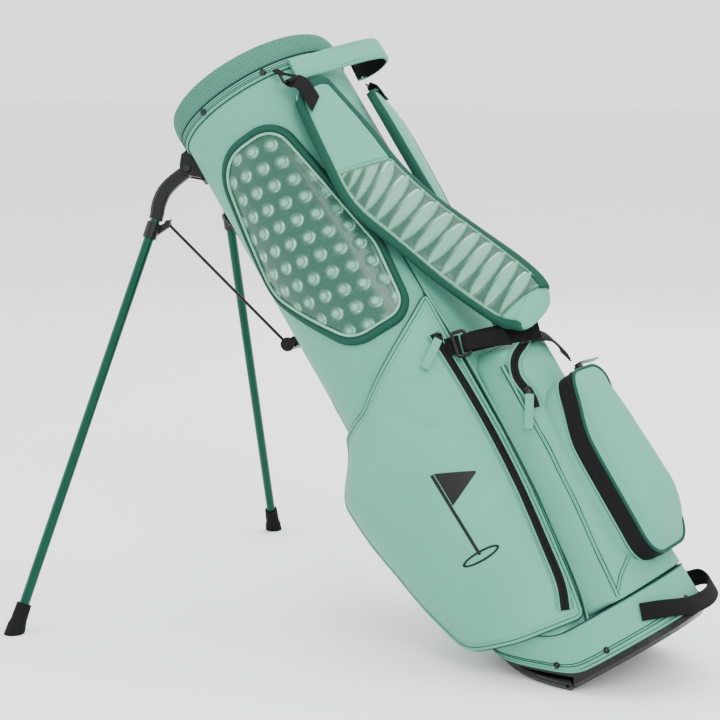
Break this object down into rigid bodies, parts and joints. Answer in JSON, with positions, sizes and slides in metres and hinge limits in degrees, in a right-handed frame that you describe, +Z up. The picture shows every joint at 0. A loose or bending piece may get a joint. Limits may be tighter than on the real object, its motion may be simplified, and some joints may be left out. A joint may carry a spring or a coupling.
{
  "type": "golf stand bag",
  "caption": "Lightweight golf bag leaning on two folding legs, with padded shoulder straps, side pockets, a padded mouth and a hinged foot plate that works the legs.",
  "frame": {"origin": "middle of the foot plate's sole, on the ground", "axes": "+Z up, +X from the legs towards the shoulder-strap side, +Y away from the near side"},
  "size_m": [0.8509, 0.6242, 0.7747],
  "materials": {
    "mint_fabric": "satin",
    "mint_mesh": "matte",
    "teal_gel": "satin",
    "black_webbing": "matte",
    "black_plastic": "satin",
    "green_metal": "gloss",
    "bright_steel": "satin",
    "black_metal": "satin",
    "black_rubber": "matte"
  },
  "bodies": {
    "bag": {"accessory_pocket": "mint_fabric", "accessory_webbing": "black_webbing", "accessory_zip": "black_webbing", "apparel_pocket": "mint_fabric", "apparel_zip": "black_webbing", "ball_pocket": "mint_fabric", "ball_zip": "black_webbing", "base_cup": "black_plastic", "boot_band": "mint_fabric", "club_divider": "black_plastic", "collar_band": "mint_fabric", "collar_rivet_1": "bright_steel", "collar_rivet_2": "bright_steel", "collar_rivet_3": "bright_steel", "collar_rivet_4": "bright_steel", "cuff_pad": "mint_mesh", "divider_sheet": "black_webbing", "far_leg_bracket": "black_plastic", "far_pivot_bolt": "bright_steel", "far_side_panel": "mint_fabric", "far_side_pocket": "mint_fabric", "hip_pad": "teal_gel", "near_leg_bracket": "black_plastic", "near_pivot_bolt": "bright_steel", "near_side_panel": "mint_fabric", "pedal_hinge_pin": "bright_steel", "spine_panel": "mint_fabric", "spine_sleeve": "mint_fabric", "strap_side_panel": "mint_fabric"},
    "near_leg": {"near_leg_knuckle": "black_plastic", "near_leg_tube": "green_metal", "near_leg_clip": "black_plastic", "near_foot": "black_rubber"},
    "far_leg": {"far_leg_knuckle": "black_plastic", "far_leg_tube": "green_metal", "far_leg_clip": "black_plastic", "far_foot": "black_rubber"},
    "actuator": {"actuator_rod": "bright_steel", "actuator_yoke": "black_plastic"},
    "near_brace": {"near_brace_rod": "black_metal"},
    "far_brace": {"far_brace_rod": "black_metal"},
    "pedal_plate": {"pedal": "black_plastic"},
    "near_strap": {"near_strap_pad": "mint_fabric", "near_strap_webbing": "black_webbing", "near_strap_ring": "black_metal", "near_lower_webbing": "black_webbing", "near_lower_buckle": "black_plastic"},
    "far_strap": {"far_strap_pad": "mint_fabric", "far_strap_webbing": "black_webbing", "far_strap_ring": "black_metal", "far_lower_webbing": "black_webbing", "far_lower_buckle": "black_plastic"},
    "top_grab_handle": {"top_handle": "mint_fabric"},
    "heel_grab_handle": {"heel_handle": "black_webbing"},
    "apparel_slider": {"apparel_zip_slider": "black_plastic"},
    "apparel_pull": {"apparel_zip_pull": "mint_fabric"},
    "accessory_slider": {"accessory_zip_slider": "black_plastic"},
    "accessory_pull": {"accessory_zip_pull": "mint_fabric"},
    "ball_slider": {"ball_zip_slider": "black_plastic"},
    "ball_pull": {"ball_zip_pull": "mint_fabric"}
  },
  "joints": [
    {"name": "near_leg_swing", "type": "hinge", "parent": "bag", "child": "near_leg", "pos_m": [-0.5373, -0.0465, 0.59595], "axis": [0.4118, -0.8634, 0.2915], "range_deg": [0, 47.7]},
    {"name": "near_brace_hinge", "type": "hinge", "parent": "actuator", "child": "near_brace", "pos_m": [-0.38609, -0.03398, 0.36973], "axis": [0.4118, -0.8634, 0.2915], "range_deg": [-13.4, 0]},
    {"name": "actuator_slide", "type": "slide", "parent": "bag", "child": "actuator", "axis": [0.5779, 0, -0.8161], "range_m": [0, 0.0374]},
    {"name": "far_leg_swing", "type": "hinge", "parent": "bag", "child": "far_leg", "pos_m": [-0.5373, 0.0465, 0.59595], "axis": [-0.4118, -0.8634, -0.2915], "range_deg": [0, 47.7]},
    {"name": "far_brace_hinge", "type": "hinge", "parent": "actuator", "child": "far_brace", "pos_m": [-0.38609, 0.03398, 0.36973], "axis": [-0.4118, -0.8634, -0.2915], "range_deg": [-13.4, 0]},
    {"name": "pedal_hinge", "type": "hinge", "parent": "bag", "child": "pedal_plate", "pos_m": [0.06393, 0, 0.0065], "axis": [0, -1, 0], "range_deg": [0, 35.3]},
    {"name": "near_strap_swing", "type": "hinge", "parent": "bag", "child": "near_strap", "pos_m": [-0.23057, -0.078, 0.55643], "axis": [0.627, 0.0398, -0.778], "range_deg": [0, 26]},
    {"name": "far_strap_swing", "type": "hinge", "parent": "bag", "child": "far_strap", "pos_m": [-0.22229, 0.088, 0.5482], "axis": [-0.5966, 0.0423, 0.8014], "range_deg": [0, 17]},
    {"name": "top_handle_swing", "type": "hinge", "parent": "bag", "child": "top_grab_handle", "pos_m": [-0.34796, 0, 0.73001], "axis": [0, 1, 0], "range_deg": [-8, 11]},
    {"name": "heel_handle_swing", "type": "hinge", "parent": "bag", "child": "heel_grab_handle", "pos_m": [0.13984, 0, 0.10252], "axis": [0, -1, 0], "range_deg": [0, 25]},
    {"name": "apparel_slider_slide", "type": "slide", "parent": "bag", "child": "apparel_slider", "axis": [0.5838, 0.0028, -0.8119], "range_m": [0, 0.145]},
    {"name": "apparel_pull_flip", "type": "hinge", "parent": "apparel_slider", "child": "apparel_pull", "pos_m": [-0.12628, -0.08624, 0.40961], "axis": [-0.7276, -0.4982, 0.4716], "range_deg": [0, 36]},
    {"name": "accessory_slider_slide", "type": "slide", "parent": "bag", "child": "accessory_slider", "axis": [-0.6452, -0.0621, 0.7614], "range_m": [0, 0.024]},
    {"name": "accessory_pull_flip", "type": "hinge", "parent": "accessory_slider", "child": "accessory_pull", "pos_m": [-0.01705, -0.05895, 0.34923], "axis": [-0.8045, -0.5924, 0.0419], "range_deg": [0, 36]},
    {"name": "ball_slider_slide", "type": "slide", "parent": "bag", "child": "ball_slider", "axis": [0, -1, 0], "range_m": [-0.012, 0.01]},
    {"name": "ball_pull_flip", "type": "hinge", "parent": "ball_slider", "child": "ball_pull", "pos_m": [0.01512, 0.004, 0.37506], "axis": [0.8121, -0.0995, 0.575], "range_deg": [0, 36]}
  ],
  "couplings": [
    {"joint": "far_leg_swing", "follows": "near_leg_swing", "ratio": 1},
    {"joint": "actuator_slide", "follows": "near_leg_swing", "m_per_rad": 0.04492},
    {"joint": "near_brace_hinge", "follows": "near_leg_swing", "ratio": -0.2789},
    {"joint": "far_brace_hinge", "follows": "near_leg_swing", "ratio": -0.2789},
    {"joint": "pedal_hinge", "follows": "near_leg_swing", "ratio": 0.74004}
  ]
}
